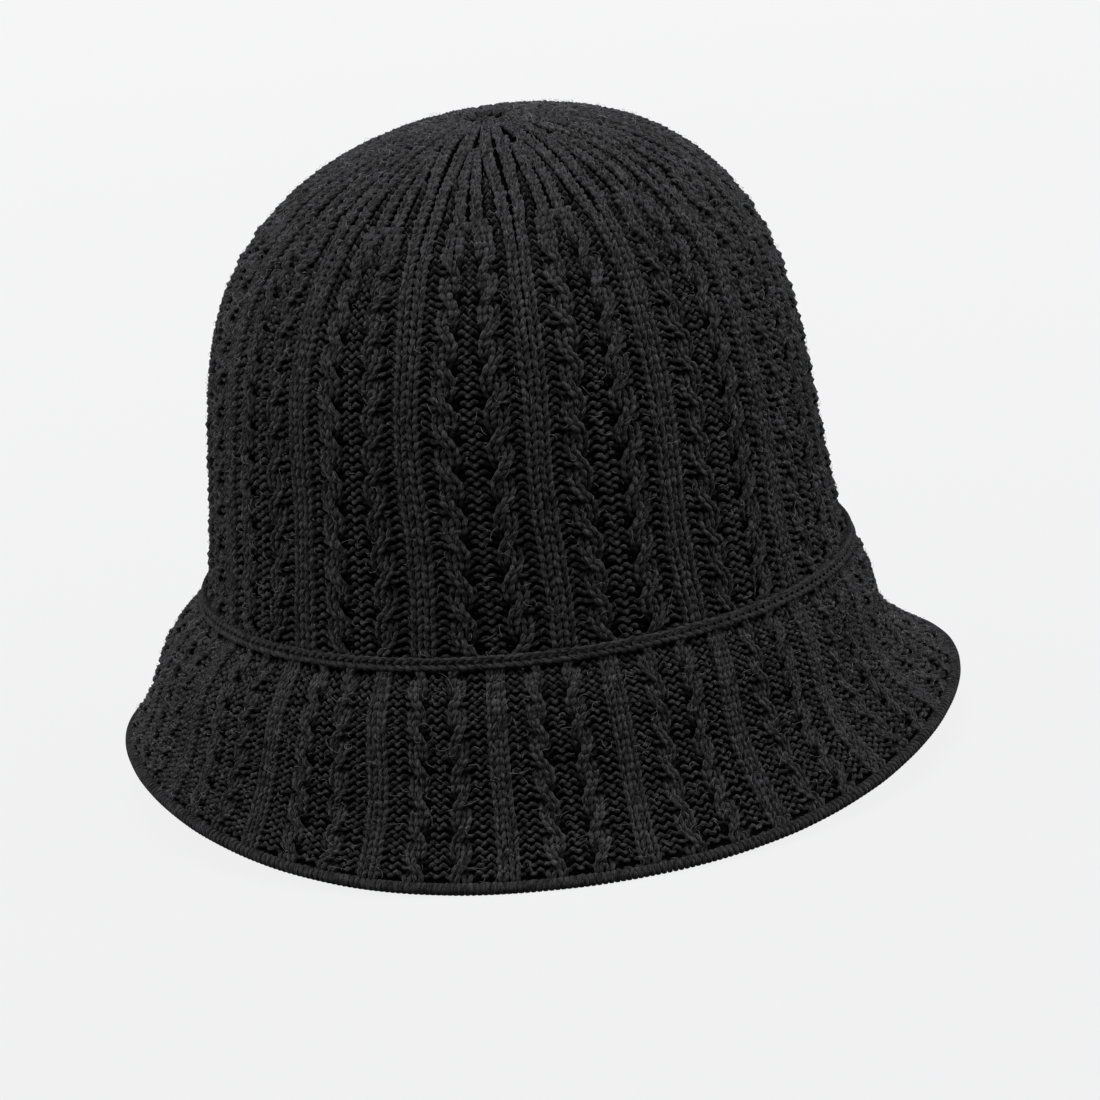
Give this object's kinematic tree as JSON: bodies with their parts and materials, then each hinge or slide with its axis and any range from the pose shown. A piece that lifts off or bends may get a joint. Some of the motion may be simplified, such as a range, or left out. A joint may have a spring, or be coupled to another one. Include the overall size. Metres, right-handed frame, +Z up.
{
  "type": "knit cloche hat",
  "caption": "Knitted cloche hat: a domed crown with ribs and cables, a flared brim linked along a raised welt, a lined head opening and a hanging label.",
  "frame": {"origin": "on the surface that the hat rests on, under the middle of its hem", "axes": "+Z up through the crown, -Y the front, +X the side where the brim flares outwards"},
  "size_m": [0.2506, 0.2494, 0.1937],
  "materials": {
    "crown_knit": "matt wool-blend knit",
    "brim_knit": "matt wool-blend knit",
    "band_knit": "matt fine rib knit",
    "linking_yarn": "matt wool-blend yarn",
    "woven_tape": "soft grosgrain tape",
    "sewing_thread": "polyester sewing thread",
    "label_satin": "blank satin ribbon",
    "filament": "clear nylon filament",
    "sleeve": "shrunk plastic sleeve"
  },
  "bodies": {
    "hat": {"crown": "crown_knit", "brim": "brim_knit", "join_welt": "linking_yarn", "hem_band": "band_knit", "hem_filament": "filament", "filament_sleeve": "sleeve", "sweatband": "woven_tape", "upper_stitching": "sewing_thread", "lower_stitching": "sewing_thread", "closing_yarn": "linking_yarn"},
    "label": {"care_label": "label_satin"}
  },
  "joints": [
    {"name": "label_swing", "type": "hinge", "parent": "hat", "child": "label", "pos_m": [0, 0.08418, 0.08158], "axis": [-1, 0, 0], "range_deg": [0, 90]}
  ]
}
